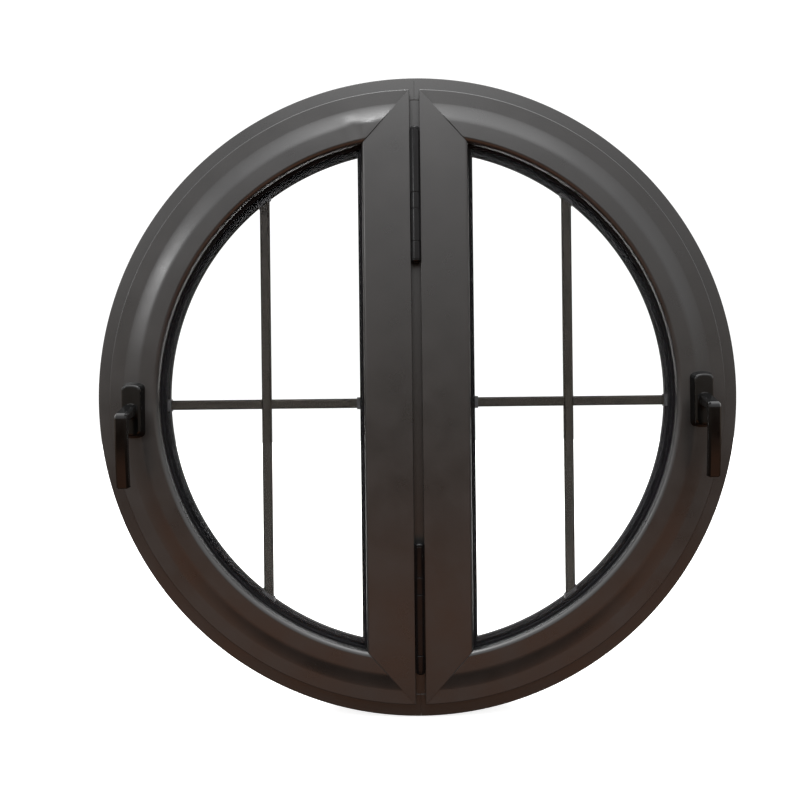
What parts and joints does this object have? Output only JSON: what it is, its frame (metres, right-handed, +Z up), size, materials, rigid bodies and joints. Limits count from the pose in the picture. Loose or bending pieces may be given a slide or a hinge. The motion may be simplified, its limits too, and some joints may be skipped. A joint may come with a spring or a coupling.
{
  "type": "round window",
  "caption": "Round double-glazed window with two inward-opening D-shaped sashes hinged on a central mullion, lever handles and grille bars in the glass.",
  "frame": {"origin": "centre of the circle, on the flat outside (weather) face of the frame and mullion", "axes": "+Z up; +Y outwards, away from the room; -Y towards the room, where the sashes open; +X to the right as seen from the room"},
  "size_m": [0.7998, 0.1365, 0.8],
  "materials": {
    "frame_coat": "satin fine-texture powder coat, charcoal",
    "sash_coat": "satin fine-texture powder coat, charcoal",
    "bead_coat": "satin fine-texture powder coat, charcoal",
    "raw_aluminium": "mill finish",
    "steel": "zinc-plated satin",
    "zinc": "die-cast, satin",
    "grey_plastic": "matt",
    "black_plastic": "matt",
    "clip_plastic": "satin grey",
    "gasket_rubber": "matt black",
    "hinge_coat": "satin black",
    "handle_coat": "satin black",
    "pane_glass": "clear float glass",
    "spacer_bar": "dark anodised, satin",
    "grille_coat": "satin charcoal"
  },
  "bodies": {
    "frame": {"left_frame_arc": "frame_coat", "right_frame_arc": "frame_coat", "frame_joint_keys": "raw_aluminium", "mullion": "frame_coat", "mullion_screws": "steel", "fixing_sleeves": "grey_plastic", "left_frame_gasket": "gasket_rubber", "right_frame_gasket": "gasket_rubber", "keepers": "steel", "upper_hinge_bracket": "hinge_coat", "lower_hinge_bracket": "hinge_coat", "bracket_screws": "steel", "hinge_pins": "steel", "hinge_caps": "hinge_coat"},
    "left_sash": {"left_sash_arc": "sash_coat", "left_sash_stile": "sash_coat", "left_sash_gasket": "gasket_rubber", "left_inner_pane": "pane_glass", "left_outer_pane": "pane_glass", "left_spacer": "spacer_bar", "left_grille_upright": "grille_coat", "left_grille_level": "grille_coat", "left_grille_clips": "clip_plastic", "left_inner_gasket": "gasket_rubber", "left_outer_gasket": "gasket_rubber", "left_bead_arc": "bead_coat", "left_bead_stile": "bead_coat", "left_packers": "black_plastic", "left_upper_leaf": "hinge_coat", "left_lower_leaf": "hinge_coat", "left_leaf_screws": "steel", "left_handle_plate": "handle_coat", "left_plate_screws": "steel", "left_gearbox": "zinc"},
    "left_handle": {"left_lever": "handle_coat", "left_spindle": "steel"},
    "left_lock_rod": {"left_drive_rod": "steel"},
    "right_sash": {"right_sash_arc": "sash_coat", "right_sash_stile": "sash_coat", "right_sash_gasket": "gasket_rubber", "right_inner_pane": "pane_glass", "right_outer_pane": "pane_glass", "right_spacer": "spacer_bar", "right_grille_upright": "grille_coat", "right_grille_level": "grille_coat", "right_grille_clips": "clip_plastic", "right_inner_gasket": "gasket_rubber", "right_outer_gasket": "gasket_rubber", "right_bead_arc": "bead_coat", "right_bead_stile": "bead_coat", "right_packers": "black_plastic", "right_upper_leaf": "hinge_coat", "right_lower_leaf": "hinge_coat", "right_leaf_screws": "steel", "right_handle_plate": "handle_coat", "right_plate_screws": "steel", "right_gearbox": "zinc"},
    "right_handle": {"right_lever": "handle_coat", "right_spindle": "steel"},
    "right_lock_rod": {"right_drive_rod": "steel"}
  },
  "joints": [
    {"name": "left_sash_swing", "type": "hinge", "parent": "frame", "child": "left_sash", "pos_m": [0, -0.083, 0], "axis": [0, 0, 1], "range_deg": [0, 70]},
    {"name": "left_handle_turn", "type": "hinge", "parent": "left_sash", "child": "left_handle", "pos_m": [-0.3495, -0.083, -0.0125], "axis": [0, -1, 0], "range_deg": [0, 90]},
    {"name": "left_lock_slide", "type": "hinge", "parent": "left_sash", "child": "left_lock_rod", "pos_m": [0, -0.048, 0], "axis": [0, -1, 0], "range_deg": [0, 2.8]},
    {"name": "right_sash_swing", "type": "hinge", "parent": "frame", "child": "right_sash", "pos_m": [0, -0.083, 0], "axis": [0, 0, -1], "range_deg": [0, 70]},
    {"name": "right_handle_turn", "type": "hinge", "parent": "right_sash", "child": "right_handle", "pos_m": [0.3495, -0.083, -0.0065], "axis": [0, 1, 0], "range_deg": [0, 90]},
    {"name": "right_lock_slide", "type": "hinge", "parent": "right_sash", "child": "right_lock_rod", "pos_m": [0, -0.048, 0], "axis": [0, 1, 0], "range_deg": [0, 2.8]}
  ],
  "couplings": [
    {"joint": "left_lock_slide", "follows": "left_handle_turn", "ratio": 0.031111},
    {"joint": "right_lock_slide", "follows": "right_handle_turn", "ratio": 0.031111}
  ]
}
